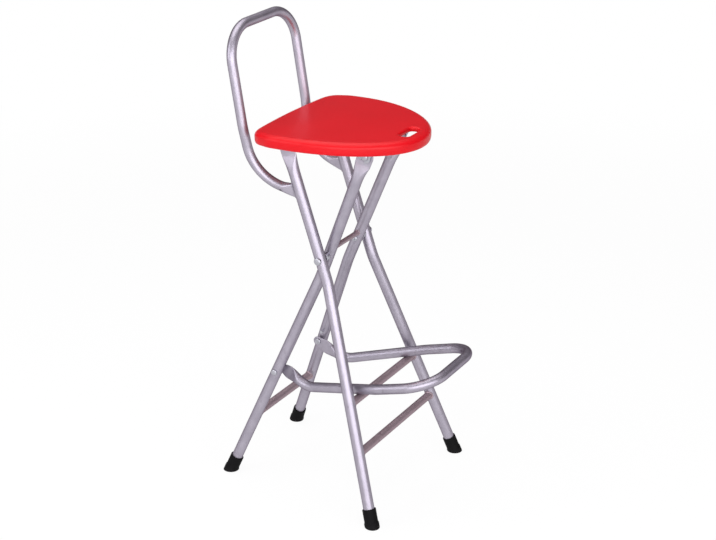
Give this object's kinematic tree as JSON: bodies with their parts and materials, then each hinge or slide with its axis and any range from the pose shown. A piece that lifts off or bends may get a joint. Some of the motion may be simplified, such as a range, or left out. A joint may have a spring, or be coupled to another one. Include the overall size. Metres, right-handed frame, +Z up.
{
  "type": "folding bar stool",
  "caption": "Tall folding stool: X frame of bent steel tube, rounded-triangle plastic seat with a hand slot, arched backrest hoop and a U-shaped footrest that swings up.",
  "frame": {"origin": "On the floor, under the middle of the unfolded stool's box: x on the plane of symmetry, y halfway between the footrest's front and the rear foot caps.", "axes": "+Z up, +Y from the footrest towards the backrest, +X towards the sitter's left hand. In the names, left is the -X side, as seen by somebody who faces the stool's front."},
  "size_m": [0.3788, 0.4708, 0.9355],
  "materials": {
    "silver_tube": "satin silver powder coat on steel tube",
    "zinc_steel": "bright zinc plate",
    "red_plastic": "satin moulded polypropylene",
    "black_rubber": "matt black rubber"
  },
  "bodies": {
    "outer_frame": {"outer_leg_left": "silver_tube", "outer_leg_right": "silver_tube", "front_foot_cap_left": "black_rubber", "front_foot_cap_right": "black_rubber", "outer_upper_crossbar": "silver_tube", "outer_lower_crossbar": "silver_tube", "pivot_rivet_left": "zinc_steel", "pivot_rivet_right": "zinc_steel", "pivot_spacer_left": "zinc_steel", "pivot_spacer_right": "zinc_steel", "seat_hinge_rivet_left": "zinc_steel", "seat_hinge_rivet_right": "zinc_steel", "backrest_hoop": "silver_tube"},
    "inner_frame": {"inner_leg_left": "silver_tube", "inner_leg_right": "silver_tube", "rear_foot_cap_left": "black_rubber", "rear_foot_cap_right": "black_rubber", "inner_crossbar": "silver_tube", "inner_brace_rod": "silver_tube", "footrest_spacer_left": "zinc_steel", "footrest_spacer_right": "zinc_steel", "footrest_rivet_left": "zinc_steel", "footrest_rivet_right": "zinc_steel", "footrest_stop_left": "zinc_steel", "footrest_stop_right": "zinc_steel", "seat_hook_pin_left": "zinc_steel", "seat_hook_pin_right": "zinc_steel"},
    "seat": {"seat": "red_plastic", "seat_hinge_bracket_left": "zinc_steel", "seat_hinge_bracket_right": "zinc_steel", "seat_hook_bracket_left": "zinc_steel", "seat_hook_bracket_right": "zinc_steel", "hinge_screw_front_left": "zinc_steel", "hinge_screw_rear_left": "zinc_steel", "hinge_screw_front_right": "zinc_steel", "hinge_screw_rear_right": "zinc_steel", "hook_screw_front_left": "zinc_steel", "hook_screw_rear_left": "zinc_steel", "hook_screw_front_right": "zinc_steel", "hook_screw_rear_right": "zinc_steel"},
    "footrest": {"footrest_loop": "silver_tube"}
  },
  "joints": [
    {"name": "frame_fold", "type": "hinge", "parent": "outer_frame", "child": "inner_frame", "pos_m": [0, 0.02098, 0.4943], "axis": [-1, 0, 0], "range_deg": [0, 34]},
    {"name": "seat_hinge", "type": "hinge", "parent": "outer_frame", "child": "seat", "pos_m": [0, 0.09307, 0.71], "axis": [-1, 0, 0], "range_deg": [0, 100]},
    {"name": "footrest_fold", "type": "hinge", "parent": "inner_frame", "child": "footrest", "pos_m": [0, 0.12586, 0.2334], "axis": [-1, 0, 0], "range_deg": [0, 48]}
  ],
  "couplings": [
    {"joint": "seat_hinge", "follows": "frame_fold", "ratio": 2.941},
    {"joint": "footrest_fold", "follows": "frame_fold", "ratio": 1.4117}
  ]
}
